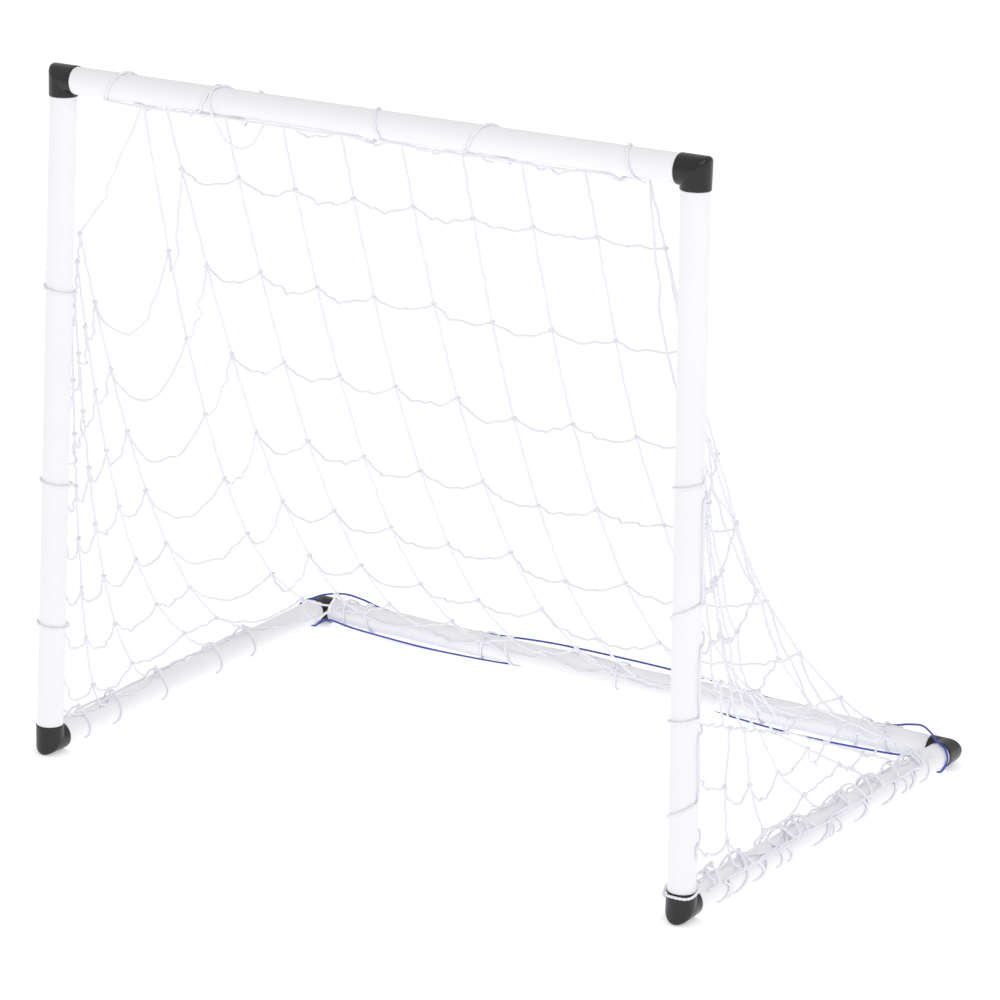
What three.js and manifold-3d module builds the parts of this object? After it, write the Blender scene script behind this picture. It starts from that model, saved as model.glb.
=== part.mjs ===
// Toy goal: six plastic tubes pushed onto six two-way corner connectors,
// with three net panels laced to the tubes and an elastic loop at the back.
// Millimetres, +Z up, +X along the crossbar, -Y is the open front.
// The origin is on the ground in the middle of the footprint.
import * as THREE from 'three';
import { mergeVertices } from 'three/addons/utils/BufferGeometryUtils.js';
import Module from 'manifold-3d';

const wasm = await Module();
wasm.setup();

// Driving dimensions
const frameWidth = 748;          // between the post axes, at the crossbar
const frameDepth = 560;          // from the post axes back to the rear tube axis
const frameHeight = 733;         // from the base tube axes up to the crossbar axis
const footSpread = 22;           // each post's foot is this much further out than its top
const rearSpread = 47;           // and each rear corner this much
const tubeDiameter = 29;
const tubeWall = 1.5;
const connectorProud = 1;        // the connectors stand this far out from the tubes, and are the feet
const connectorCollar = 3;       // from the side of one tube to the end of the other, at a corner
const spigotLength = 30;
const spigotWall = 2.2;
const spigotBoreEnd = 4;         // solid web left at the root of each spigot
const pushFit = 0.3;             // gap between a spigot and the tube's bore, all round
const faceGap = 0.3;             // gap between pieces that touch
const twine = 2.6;               // diameter of the net's twine and of its lacing
const elasticDiameter = 2.4;
const netClearance = 2.7;        // from a connector's side to the edge twine of a net
const backNetCells = { across: 9, down: 8 };
const sideNetCells = { across: 5, down: 7 };
const backNetSag = 76;           // how far the back net hangs in front of a straight line
const sagSkew = 1.2;             // above 1 puts the deepest sag below the middle
const backNetTaper = 12;         // the back net is this much nearer the middle at its foot
const sideNetTopWidth = 34;      // a side net stops where it is this narrow
const sideNetHeel = 50;          // clear length at the back of each side tube, for the elastic
const tubeSides = 24;
const cordSides = 6;

// Worked out from the driving dimensions
const tubeRadius = tubeDiameter / 2;
const connectorRadius = tubeRadius + connectorProud;
const connectorLeg = tubeRadius + connectorCollar; // from the corner of the axes to the tube's end
const netStandoff = connectorRadius + netClearance + twine / 2; // from a tube's axis to a net's edge twine
const boreRadius = tubeRadius - tubeWall;
const spigotRadius = boreRadius - pushFit;
const postX = frameWidth / 2;
const frontY = -frameDepth / 2;
const rearY = frameDepth / 2;
const baseZ = connectorRadius;
const topZ = baseZ + frameHeight;

// Colours and finishes
const whiteTube = () => new THREE.MeshStandardMaterial({ color: 0xf2f3f5, roughness: 0.35, metalness: 0 });
const blackMoulding = () => new THREE.MeshStandardMaterial({ color: 0x1b1b1d, roughness: 0.4, metalness: 0 });
const whiteTwine = () => new THREE.MeshStandardMaterial({ color: 0xeeeef6, roughness: 0.8, metalness: 0 });
const blueElastic = () => new THREE.MeshStandardMaterial({ color: 0x27357f, roughness: 0.7, metalness: 0 });

const goal = new THREE.Group();
goal.name = 'toy_goal';

// Everything is built square, and then moved out to the side: not at all at
// the crossbar, and most at the rear corners. The connectors keep their shape,
// except that each leg and its spigot follow the tube.
function spreadOut(geometry) {
  const share = (value, start, end) => THREE.MathUtils.clamp((value - start) / (end - start), 0, 1);
  const rigidX = postX - connectorLeg - spigotLength - 2;
  return bend(geometry, (x, y, z) => {
    const low = 1 - share(z, baseZ + connectorRadius, topZ - connectorRadius);
    const rear = share(y, frontY + connectorRadius, rearY - connectorRadius);
    const side = THREE.MathUtils.clamp(x / rigidX, -1, 1);
    return [x + side * low * (footSpread + (rearSpread - footSpread) * rear), y, z];
  });
}

function addPiece(name, squareGeometry, material) {
  const geometry = spreadOut(squareGeometry);
  const mesh = new THREE.Mesh(geometry, material);
  mesh.name = name;
  goal.add(mesh);
  return mesh;
}

// Booleans

function toSolid(geometry) {
  const bare = geometry.index ? geometry.toNonIndexed() : geometry.clone();
  bare.deleteAttribute('normal');
  bare.deleteAttribute('uv');
  const merged = mergeVertices(bare, 1e-4);
  const vertProperties = new Float32Array(merged.attributes.position.array);
  const triVerts = new Uint32Array(merged.index.array);
  return new wasm.Manifold(new wasm.Mesh({ numProp: 3, vertProperties, triVerts }));
}

function toGeometry(solid) {
  const mesh = solid.getMesh();
  const geometry = new THREE.BufferGeometry();
  geometry.setAttribute('position', new THREE.BufferAttribute(new Float32Array(mesh.vertProperties), 3));
  geometry.setIndex(new THREE.BufferAttribute(new Uint32Array(mesh.triVerts), 1));
  geometry.computeVertexNormals();
  return geometry;
}

// A many-sided outline whose flats, not its corners, are at the radius,
// with one flat square to each of the two section axes.
function roundOutline(radius, sides, PathType) {
  const outline = new PathType();
  const corner = radius / Math.cos(Math.PI / sides);
  for (let i = 0; i < sides; i += 1) {
    const angle = (i + 0.5) * 2 * Math.PI / sides;
    const x = corner * Math.cos(angle);
    const y = corner * Math.sin(angle);
    if (i === 0) outline.moveTo(x, y);
    else outline.lineTo(x, y);
  }
  outline.closePath();
  return outline;
}

// A rod or a pipe that starts at a point and runs along a unit direction.
function roundBar(start, direction, length, radius, sides, bore = 0) {
  const section = roundOutline(radius, sides, THREE.Shape);
  if (bore > 0) section.holes.push(roundOutline(bore, sides, THREE.Path));
  const geometry = new THREE.ExtrudeGeometry(section, { depth: length, bevelEnabled: false, steps: 1 });
  const turn = new THREE.Quaternion().setFromUnitVectors(new THREE.Vector3(0, 0, 1), direction);
  geometry.applyQuaternion(turn);
  geometry.translate(start.x, start.y, start.z);
  return geometry;
}

// Tubes

const right = new THREE.Vector3(1, 0, 0);
const back = new THREE.Vector3(0, 1, 0);
const up = new THREE.Vector3(0, 0, 1);

const tubeTrim = connectorLeg + faceGap;
const tubes = {
  crossbar: { corner: new THREE.Vector3(-postX, frontY, topZ), along: right, span: frameWidth },
  left_post: { corner: new THREE.Vector3(-postX, frontY, baseZ), along: up, span: frameHeight },
  right_post: { corner: new THREE.Vector3(postX, frontY, baseZ), along: up, span: frameHeight },
  left_base_tube: { corner: new THREE.Vector3(-postX, frontY, baseZ), along: back, span: frameDepth },
  right_base_tube: { corner: new THREE.Vector3(postX, frontY, baseZ), along: back, span: frameDepth },
  rear_base_tube: { corner: new THREE.Vector3(-postX, rearY, baseZ), along: right, span: frameWidth },
};

for (const [name, tube] of Object.entries(tubes)) {
  const start = tube.corner.clone().addScaledVector(tube.along, tubeTrim);
  const length = tube.span - 2 * tubeTrim;
  addPiece(name, roundBar(start, tube.along, length, tubeRadius, tubeSides, boreRadius), whiteTube());
}

// Corner connectors: a mitred elbow with one hollow spigot on each leg.

function cornerConnector(corner, firstLeg, secondLeg) {
  const legs = [firstLeg, secondLeg];
  const fullRods = legs.map((leg) => {
    const start = corner.clone().addScaledVector(leg, -2 * connectorRadius);
    return toSolid(roundBar(start, leg, 4 * connectorRadius, connectorRadius, tubeSides));
  });
  let body = fullRods[0].intersect(fullRods[1]);
  for (const leg of legs) {
    const reach = connectorLeg + spigotLength;
    const legRod = toSolid(roundBar(corner, leg, connectorLeg, connectorRadius, tubeSides));
    const spigot = toSolid(roundBar(corner, leg, reach, spigotRadius, tubeSides));
    body = body.add(legRod).add(spigot);
  }
  for (const leg of legs) {
    const root = corner.clone().addScaledVector(leg, connectorLeg + spigotBoreEnd);
    const bore = roundBar(root, leg, spigotLength, spigotRadius - spigotWall, tubeSides);
    body = body.subtract(toSolid(bore));
  }
  return toGeometry(body);
}

const down = up.clone().negate();
const left = right.clone().negate();
const forward = back.clone().negate();
const corners = {
  top_left_connector: [-postX, frontY, topZ, right, down],
  top_right_connector: [postX, frontY, topZ, left, down],
  front_left_connector: [-postX, frontY, baseZ, up, back],
  front_right_connector: [postX, frontY, baseZ, up, back],
  rear_left_connector: [-postX, rearY, baseZ, forward, right],
  rear_right_connector: [postX, rearY, baseZ, forward, left],
};

for (const [name, [x, y, z, firstLeg, secondLeg]] of Object.entries(corners)) {
  addPiece(name, cornerConnector(new THREE.Vector3(x, y, z), firstLeg, secondLeg), blackMoulding());
}

// Net panels: flat lattices of twine, bent to the way the net hangs.

// The back net's line in the YZ plane: 0 at the crossbar, 1 at the rear tube.
// It leaves the crossbar at its lower back and meets the rear tube from its upper front.
const crossbarNetAngle = THREE.MathUtils.degToRad(-53);
const rearNetAngle = THREE.MathUtils.degToRad(142.5);
const netTop = {
  y: frontY + netStandoff * Math.cos(crossbarNetAngle),
  z: topZ + netStandoff * Math.sin(crossbarNetAngle),
};
const netFoot = {
  y: rearY + netStandoff * Math.cos(rearNetAngle),
  z: baseZ + netStandoff * Math.sin(rearNetAngle),
};
const netChord = { y: netFoot.y - netTop.y, z: netFoot.z - netTop.z };
const netLength = Math.hypot(netChord.y, netChord.z);

function netLine(share) {
  const sag = backNetSag * Math.sin(Math.PI * Math.max(0, share) ** sagSkew);
  return {
    y: netTop.y + netChord.y * share + sag * netChord.z / netLength,
    z: netTop.z + netChord.z * share - sag * netChord.y / netLength,
  };
}

function netNormal(share) {
  const step = 0.001;
  const before = netLine(Math.max(0, share - step));
  const after = netLine(Math.min(1, share + step));
  const size = Math.hypot(after.y - before.y, after.z - before.z);
  return { y: -(after.z - before.z) / size, z: (after.y - before.y) / size };
}

// A flat lattice of square twines. pointAt(column, row) is where two twines
// cross, on the plate, and rows rise to the left of the way that columns rise.
function lattice(across, rows, pointAt) {
  const half = twine / 2;
  const vertices = [];
  const faces = [];

  function towards(column, row, columnStep, rowStep) {
    const here = pointAt(column, row);
    const nextColumn = column + columnStep;
    const nextRow = row + rowStep;
    const inside = nextColumn >= 0 && nextColumn <= across && nextRow >= 0 && nextRow <= rows;
    const way = inside
      ? pointAt(nextColumn, nextRow).sub(here)
      : here.sub(pointAt(column - columnStep, row - rowStep));
    return way.normalize();
  }

  // Each crossing has four corners, one way along each twine, on both faces.
  const cornerSteps = [[-1, -1], [1, -1], [1, 1], [-1, 1]];
  for (let j = 0; j <= rows; j += 1) {
    for (let i = 0; i <= across; i += 1) {
      for (const [columnStep, rowStep] of cornerSteps) {
        const alongRow = towards(i, j, columnStep, 0);
        const alongColumn = towards(i, j, 0, rowStep);
        const reach = half / Math.abs(alongRow.cross(alongColumn));
        const corner = pointAt(i, j).addScaledVector(alongRow, reach).addScaledVector(alongColumn, reach);
        vertices.push(corner.x, corner.y, -half, corner.x, corner.y, half);
      }
    }
  }

  const corner = (i, j, which) => 2 * (4 * (j * (across + 1) + i) + which);
  const quad = (a, b, c, d) => faces.push(a, b, c, a, c, d);
  const bothFaces = (a, b, c, d) => {
    quad(a + 1, b + 1, c + 1, d + 1);
    quad(d, c, b, a);
  };
  const wall = (a, b) => quad(a, b, b + 1, a + 1);

  for (let j = 0; j <= rows; j += 1) {
    for (let i = 0; i <= across; i += 1) {
      const [a, b, c, d] = [0, 1, 2, 3].map((which) => corner(i, j, which));
      bothFaces(a, b, c, d);
      if (j === 0) wall(a, b);
      if (i === across) wall(b, c);
      if (j === rows) wall(c, d);
      if (i === 0) wall(d, a);
      if (i < across) {
        const nextLow = corner(i + 1, j, 0);
        const nextHigh = corner(i + 1, j, 3);
        bothFaces(b, nextLow, nextHigh, c);
        wall(b, nextLow);
        wall(nextHigh, c);
      }
      if (j < rows) {
        const nextLeft = corner(i, j + 1, 0);
        const nextRight = corner(i, j + 1, 1);
        bothFaces(d, c, nextRight, nextLeft);
        wall(c, nextRight);
        wall(nextLeft, d);
      }
    }
  }

  const geometry = new THREE.BufferGeometry();
  geometry.setAttribute('position', new THREE.Float32BufferAttribute(vertices, 3));
  geometry.setIndex(faces);
  return geometry;
}

// Moves every vertex of a geometry to place(x, y, z).
function bend(geometry, place) {
  const position = geometry.attributes.position;
  for (let i = 0; i < position.count; i += 1) {
    const [x, y, z] = place(position.getX(i), position.getY(i), position.getZ(i));
    position.setXYZ(i, x, y, z);
  }
  geometry.computeVertexNormals();
  return geometry;
}

const netHalfWidth = postX - connectorRadius - twine;

function backNetX(column, rowShare) {
  const halfWidth = netHalfWidth - backNetTaper * rowShare;
  return halfWidth * (2 * column / backNetCells.across - 1);
}

function backNet() {
  const { across, down: rows } = backNetCells;
  const pointAt = (i, j) => new THREE.Vector2(backNetX(i, j / rows), netLength * j / rows);
  return bend(lattice(across, rows, pointAt), (x, run, off) => {
    const line = netLine(run / netLength);
    const normal = netNormal(run / netLength);
    return [x, line.y + off * normal.y, line.z + off * normal.z];
  });
}

// How far down the back net's line a height is, from 0 to 1.
function netShareAtHeight(z) {
  let low = 0;
  let high = 1;
  for (let i = 0; i < 40; i += 1) {
    const middle = (low + high) / 2;
    if (netLine(middle).z > z) low = middle;
    else high = middle;
  }
  return (low + high) / 2;
}

const sideNetGap = 2 * twine;    // from a side net's slanted edge to the back net
const sideNetFrontY = frontY + netStandoff;
const sideNetFootZ = baseZ + netStandoff;

function sideNetBackY(z) {
  const slope = netLine(netShareAtHeight(z)).y - sideNetGap;
  return Math.min(slope, rearY - sideNetHeel);
}

// The height at which a side net is only as wide as it has to be at its top.
function sideNetTop() {
  let low = sideNetFootZ;
  let high = netTop.z;
  for (let i = 0; i < 40; i += 1) {
    const middle = (low + high) / 2;
    if (sideNetBackY(middle) - sideNetFrontY > sideNetTopWidth) low = middle;
    else high = middle;
  }
  return (low + high) / 2;
}

const sideNetTopZ = sideNetTop();
const sideNetZ = (row) => sideNetFootZ + (sideNetTopZ - sideNetFootZ) * row / sideNetCells.down;

function sideNet(side) {
  const { across, down: rows } = sideNetCells;
  const pointAt = (i, j) => {
    const z = sideNetZ(j);
    return new THREE.Vector2(sideNetFrontY + (sideNetBackY(z) - sideNetFrontY) * i / across, z);
  };
  return bend(lattice(across, rows, pointAt), (y, z, off) => [side * postX + off, y, z]);
}

addPiece('back_net', backNet(), whiteTwine());
addPiece('left_side_net', sideNet(-1), whiteTwine());
addPiece('right_side_net', sideNet(1), whiteTwine());

// Cords. A cord's path goes straight from point to point and has a ring of
// its section at each.
class CordPath extends THREE.Curve {
  constructor(points, closed = false) {
    super();
    this.points = points;
    this.closed = closed;
    this.count = closed ? points.length : points.length - 1;
  }

  pointAt(index) {
    return this.points[index % this.points.length];
  }

  getUtoTmapping(u) {
    return u;
  }

  getPoint(t, target = new THREE.Vector3()) {
    const place = Math.min(t, 1) * this.count;
    const index = Math.min(Math.floor(place), this.count - 1);
    return target.copy(this.pointAt(index)).lerp(this.pointAt(index + 1), place - index);
  }

  getTangent(t, target = new THREE.Vector3()) {
    const index = Math.round(t * this.count);
    const before = index > 0 ? index - 1 : this.closed ? this.count - 1 : 0;
    const after = index < this.count ? index + 1 : this.closed ? 1 : this.count;
    const arriving = this.pointAt(index).clone().sub(this.pointAt(before));
    const leaving = this.pointAt(after).clone().sub(this.pointAt(index));
    return target.copy(arriving.normalize()).add(leaving.normalize()).normalize();
  }
}

function cord(points, diameter, closed = false) {
  const path = new CordPath(points, closed);
  const section = roundOutline(diameter / 2, cordSides, THREE.Shape);
  return new THREE.ExtrudeGeometry(section, { steps: path.count, extrudePath: path, bevelEnabled: false });
}

// Where a cord passes under a base tube it is pressed flat between the tube
// and the ground, with the same small gap above and below it.
const underTube = baseZ - tubeRadius;
const pressedZ = underTube / 2;
const pressedGap = 0.2 * underTube;

function pressFlat(geometry, diameter) {
  const half = diameter / 2 / Math.cos(Math.PI / cordSides);
  const squeeze = (underTube / 2 - pressedGap) / half;
  const easeEnd = pressedZ + 2.5 * half;
  return bend(geometry, (x, y, z) => {
    const above = z - pressedZ;
    if (above <= half) return [x, y, pressedZ + above * squeeze];
    if (z >= easeEnd) return [x, y, z];
    const share = (above - half) / (easeEnd - pressedZ - half);
    return [x, y, pressedZ + half * squeeze + share * (easeEnd - pressedZ - half * squeeze)];
  });
}

// One lacing cord winds round a tube and the edge twine of the net beside it.
// Each turn is nearly square to the tube, and the cord then runs along the
// tube to the next turn. Angles are round the tube from straight below it,
// or from behind on a post, and rise the way that turn.side points.
const snugRadius = tubeRadius + faceGap + 0.8 * twine + 0.4;
const easyRadius = snugRadius + 1.6;
const netRadius = netStandoff + 2 * twine - 0.2;
const turnAngles = (under) => [under, 56, 91, 125, 160, 200, 235, 269, 304, 360 - under];
const underAngle = { clear: 18, onGround: 26 };
const turnSlant = 14;            // how far one turn moves along the tube
const tailLength = 9;

function lacing({ corner, along, below, side, netAngle, first, turns, onGround }) {
  const angles = turnAngles(onGround ? underAngle.onGround : underAngle.clear);

  function place(distance, angle) {
    const away = Math.abs(((angle - netAngle + 540) % 360) - 180);
    const radius = away <= 25 ? netRadius : away <= 62 ? easyRadius : snugRadius;
    const radians = THREE.MathUtils.degToRad(angle);
    const point = corner.clone()
      .addScaledVector(along, distance)
      .addScaledVector(below, radius * Math.cos(radians))
      .addScaledVector(side, radius * Math.sin(radians));
    if (onGround) point.z = Math.max(point.z, pressedZ);
    return point;
  }

  const points = [place(turns[0] - turnSlant / 2 - tailLength, angles[first])];
  for (const middle of turns) {
    for (let k = 0; k <= angles.length; k += 1) {
      const angle = angles[(first + k) % angles.length];
      const distance = middle + turnSlant * (k / angles.length - 0.5);
      points.push(place(distance, angle));
    }
  }
  points.push(place(turns.at(-1) + turnSlant / 2 + tailLength, angles[first]));
  const geometry = cord(points, twine);
  return onGround ? pressFlat(geometry, twine) : geometry;
}

// Each turn goes through a mesh of the net, told as a column of the back net
// or as a column or row of a side net, halves being the middle of a mesh.
const topMesh = (column) => backNetX(column, 0) + postX;
const footMesh = (column) => backNetX(column, 1) + postX;
const postMesh = (row) => sideNetZ(row) - baseZ;
const baseMesh = (column) => {
  const width = sideNetBackY(sideNetFootZ) - sideNetFrontY;
  return netStandoff + width * column / sideNetCells.across;
};

const lacings = {
  crossbar_lacing: {
    ...tubes.crossbar, below: down, side: back, netAngle: 37, first: 9,
    turns: [0.6, 2.4, 4.5, 6.4, 8.4].map(topMesh), onGround: false,
  },
  left_post_lacing: {
    ...tubes.left_post, below: forward, side: left, netAngle: 180, first: 2,
    turns: [3.3, 5.7].map(postMesh), onGround: false,
  },
  right_post_lacing: {
    ...tubes.right_post, below: forward, side: right, netAngle: 180, first: 2,
    turns: [0.8, 3.25, 4.75].map(postMesh), onGround: false,
  },
  left_base_lacing: {
    ...tubes.left_base_tube, below: down, side: left, netAngle: 180, first: 3,
    turns: [0.6, 1.5, 2.5, 4.5].map(baseMesh), onGround: true,
  },
  right_base_lacing: {
    ...tubes.right_base_tube, below: down, side: right, netAngle: 180, first: 3,
    turns: [0.5, 1.3, 1.7, 2.5, 3.3, 3.7, 4.5].map(baseMesh), onGround: true,
  },
  rear_lacing: {
    ...tubes.rear_base_tube, below: down, side: forward, netAngle: 142.5, first: 6,
    turns: [0.5, 1.5, 2.6, 4.4, 6.4, 7.5, 8.5].map(footMesh), onGround: true,
  },
};

for (const [name, plan] of Object.entries(lacings)) {
  addPiece(name, lacing(plan), whiteTwine());
}

// A spare end of twine, tied once round the foot of the right post, where it
// lies on the connector in front and goes through the side net behind.
function postTie() {
  const frontRadius = connectorRadius + faceGap + twine / 2 + 0.7;
  const backRadius = netRadius;
  const tieZ = baseZ + connectorLeg + 2;
  const tilt = 4;
  const count = 16;
  const points = [];
  for (let i = 0; i < count; i += 1) {
    const angle = 2 * Math.PI * i / count;
    const backShare = Math.max(0, Math.sin(angle)) ** 2;
    const radius = frontRadius + (backRadius - frontRadius) * backShare;
    const x = postX + radius * Math.cos(angle);
    const y = frontY + radius * Math.sin(angle);
    points.push(new THREE.Vector3(x, y, tieZ + tilt * Math.sin(angle)));
  }
  return points;
}

addPiece('right_post_tie', cord(postTie(), twine, true), whiteTwine());

// The elastic: one closed loop along the rear tube, above it behind and below
// it in front, that goes out over and under the side tube at each end.
// Each row is a place from the corner of the axes: in along the rear tube,
// back from its axis, and up from its axis.
const overLacing = netRadius - 2.4;      // clear of the lacing on the rear tube
const overTube = tubeRadius + 4.6;       // clear of the side tube and the connector
const heel = -connectorLeg - 10;         // where it crosses the side tube
const elasticEnd = [
  [64, 0.68 * overLacing, 0.68 * overLacing],
  [30, 4, overLacing],
  [12, -12, overLacing],
  [0, heel + 6, overTube],
  [-0.68 * overTube, heel + 2, 0.71 * overTube],
  [-0.985 * overTube, heel, 1],
  [-0.73 * overTube, heel, -0.56 * overTube],
  [-6.5, heel, pressedZ - baseZ],
  [6.5, heel, pressedZ - baseZ],
  [0.78 * overTube, heel + 2, -0.53 * overTube],
  [1.21 * overTube, heel + 8, -0.39 * overTube],
  [64, -0.84 * overLacing, -0.48 * overLacing],
];

function elasticLoop() {
  const rightEnd = elasticEnd.map(([inwards, backwards, upwards]) =>
    new THREE.Vector3(postX - inwards, rearY + backwards, baseZ + upwards));
  const leftEnd = rightEnd.map((point) => new THREE.Vector3(-point.x, point.y, point.z)).reverse();
  return [...rightEnd, ...leftEnd];
}

addPiece('rear_elastic', pressFlat(cord(elasticLoop(), elasticDiameter, true), elasticDiameter), blueElastic());

export default goal;
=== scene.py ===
# A toy goal: white plastic tubes pushed onto black corner connectors, with a
# knotted twine net laced to the tubes and an elastic loop along the rear tube.
# Metres, +X along the crossbar, +Y from the open front to the back, +Z up.
import math

import bpy
import numpy as np
from mathutils import Matrix, Vector


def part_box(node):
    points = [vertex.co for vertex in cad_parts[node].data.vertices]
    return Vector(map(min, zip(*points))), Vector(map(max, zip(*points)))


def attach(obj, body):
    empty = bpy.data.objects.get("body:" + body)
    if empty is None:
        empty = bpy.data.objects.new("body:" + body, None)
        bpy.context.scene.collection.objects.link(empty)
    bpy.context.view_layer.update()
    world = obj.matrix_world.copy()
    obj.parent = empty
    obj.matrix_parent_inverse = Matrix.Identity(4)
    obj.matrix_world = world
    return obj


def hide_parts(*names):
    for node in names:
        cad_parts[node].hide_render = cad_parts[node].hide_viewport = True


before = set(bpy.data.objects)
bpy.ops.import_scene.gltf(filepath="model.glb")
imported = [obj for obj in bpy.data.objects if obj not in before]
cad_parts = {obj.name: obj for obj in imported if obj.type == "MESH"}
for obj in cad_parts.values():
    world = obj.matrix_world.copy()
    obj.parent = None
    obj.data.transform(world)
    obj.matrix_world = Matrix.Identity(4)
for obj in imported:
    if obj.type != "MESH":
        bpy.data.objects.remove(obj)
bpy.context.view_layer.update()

# ---------------------------------------------------------------- studio
# A white floor that runs up into a bright surround, a large soft lamp from
# the upper right, a weak one from the left, and a long lens.

camera_place = (1.8938, -3.1073, 1.3666)
camera_turn = {"heading": 31.34, "tilt": -16.396, "roll": -1.886}   # degrees
camera_lens = 125.85                                              # millimetres
sensor = 36.0


def camera_axes(heading, tilt, roll):
    """The turn of a camera that looks along +Y: rolled about Y, tilted about X, then headed about Z."""
    about_z = Matrix.Rotation(math.radians(heading), 3, "Z")
    about_x = Matrix.Rotation(math.radians(tilt), 3, "X")
    about_y = Matrix.Rotation(math.radians(roll), 3, "Y")
    look_along_y = Matrix.Rotation(math.radians(90), 3, "X")
    return about_z @ about_x @ about_y @ look_along_y


camera_data = bpy.data.cameras.new("camera")
camera_data.sensor_width = sensor
camera_data.lens = camera_lens
camera_data.clip_end = 100
camera = bpy.data.objects.new("camera", camera_data)
camera.rotation_mode = "QUATERNION"
camera.rotation_quaternion = camera_axes(**camera_turn).to_quaternion()
camera.location = camera_place
bpy.context.collection.objects.link(camera)
bpy.context.scene.camera = camera
bpy.context.scene.view_settings.view_transform = "Standard"


def linear(hex_colour):
    """An sRGB hex colour as linear colour and alpha: a channel c becomes ((c + 0.055) / 1.055) ** 2.4."""
    channels = [int(hex_colour[i:i + 2], 16) / 255 for i in (1, 3, 5)]
    return tuple(c / 12.92 if c <= 0.04045 else ((c + 0.055) / 1.055) ** 2.4 for c in channels) + (1.0,)


def add_node(tree, kind, settings=None, **links):
    """Adds a node, sets its properties, and gives each named or numbered input a value or a link."""
    node = tree.nodes.new(kind)
    for name, value in (settings or {}).items():
        setattr(node, name, value)
    for name, value in links.items():
        numbered = name[0] == "i" and name[1:].isdigit()
        socket = node.inputs[int(name[1:]) if numbered else name.replace("_", " ")]
        if isinstance(value, bpy.types.NodeSocket):
            tree.links.new(value, socket)
        else:
            socket.default_value = value
    return node


def surface_material(name, **values):
    """A new material, its nodes and its shader, with the values that are even all over set on sockets."""
    material = bpy.data.materials.new(name)
    material.use_nodes = True
    shader = material.node_tree.nodes["Principled BSDF"]
    for key, value in values.items():
        shader.inputs[key.replace("_", " ")].default_value = value
    return material, material.node_tree, shader


floor_size = 30.0
floor_mesh = bpy.data.meshes.new("floor")
floor_corners = np.array([(-1, -1, 0), (1, -1, 0), (1, 1, 0), (-1, 1, 0)]) * floor_size / 2
floor_mesh.from_pydata(floor_corners.tolist(), [], [(0, 1, 2, 3)])
floor = bpy.data.objects.new("floor", floor_mesh)
floor_paint, _, _ = surface_material(
    "matt white floor paint", Base_Color=linear("#F4F4F6"), Roughness=0.9,
    Emission_Color=linear("#FFFFFF"), Emission_Strength=0.41)
floor_mesh.materials.append(floor_paint)
bpy.context.collection.objects.link(floor)

surround = bpy.data.worlds.new("surround")
surround.use_nodes = True
backdrop = surround.node_tree.nodes["Background"]
backdrop.inputs["Color"].default_value = linear("#FEFEFF")
sees_backdrop = add_node(surround.node_tree, "ShaderNodeLightPath").outputs["Is Camera Ray"]
brightness = add_node(
    surround.node_tree, "ShaderNodeMapRange", Value=sees_backdrop, To_Min=0.755, To_Max=1.1)
surround.node_tree.links.new(brightness.outputs["Result"], backdrop.inputs["Strength"])
bpy.context.scene.world = surround


def add_lamp(name, place, target, size, power):
    """A square area lamp at a place, facing a target."""
    data = bpy.data.lights.new(name, "AREA")
    data.size = size
    data.energy = power
    lamp = bpy.data.objects.new(name, data)
    lamp.location = place
    away = lamp.location - Vector(target)
    lamp.rotation_mode = "QUATERNION"
    lamp.rotation_quaternion = away.to_track_quat("Z", "Y")
    bpy.context.collection.objects.link(lamp)


add_lamp("key_lamp", (1.8, -1.6, 2.6), (0, 0, 0.3), 1.6, 12)
add_lamp("fill_lamp", (-2.4, -1.2, 1.8), (0, 0, 0.3), 2.0, 2)

# ---------------------------------------------------------------- tubes
# Six straight tubes of extruded white plastic, cut square, with a soft sheen
# and the faint lengthwise draw lines of the extrusion die. Each pushes onto
# a connector's spigot at both ends.

tube_wall = 0.0015
rim_round = 0.0005
spread_margin = 0.002            # the sideways spread is at its full from this far beyond a spigot's end

bar_low, bar_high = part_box("crossbar")
rear_low, rear_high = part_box("rear_base_tube")
corner_low, corner_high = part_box("top_left_connector")
tube_radius = (bar_high[2] - bar_low[2]) / 2
body_radius = (corner_high[1] - corner_low[1]) / 2
post_x = -(corner_low[0] + body_radius)
front_y = (bar_high[1] + bar_low[1]) / 2
rear_y = (rear_high[1] + rear_low[1]) / 2
top_z = (bar_high[2] + bar_low[2]) / 2
base_z = (rear_high[2] + rear_low[2]) / 2
foot_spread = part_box("front_right_connector")[1][0] - body_radius - post_x
rear_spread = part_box("rear_right_connector")[1][0] - body_radius - post_x
spigot_end = corner_high[0] + post_x
right, back, up = np.eye(3)


def spread_out(points):
    """Points of the square frame moved out to the side: the posts lean out and the base widens to the back.

    The move is the foot spread at the front and the rear spread at the back. It shrinks to nothing from the
    base up to the crossbar, and from each side's spigots in to the middle.
    """
    low = 1 - np.clip((points[:, 2] - base_z - body_radius) / (top_z - base_z - 2 * body_radius), 0, 1)
    rear = np.clip((points[:, 1] - front_y - body_radius) / (rear_y - front_y - 2 * body_radius), 0, 1)
    side = np.clip(points[:, 0] / (post_x - spigot_end - spread_margin), -1, 1)
    moved = points.copy()
    moved[:, 0] += side * low * (foot_spread + (rear_spread - foot_spread) * rear)
    return moved


def link_piece(name, mesh, material, node):
    """Makes the object, gives it its material, hangs it on the root body, and hides the CAD part it takes the
    place of.
    """
    mesh.materials.append(material)
    piece = bpy.data.objects.new(name, mesh)
    bpy.context.collection.objects.link(piece)
    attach(piece, "root")
    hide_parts(node)


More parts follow.
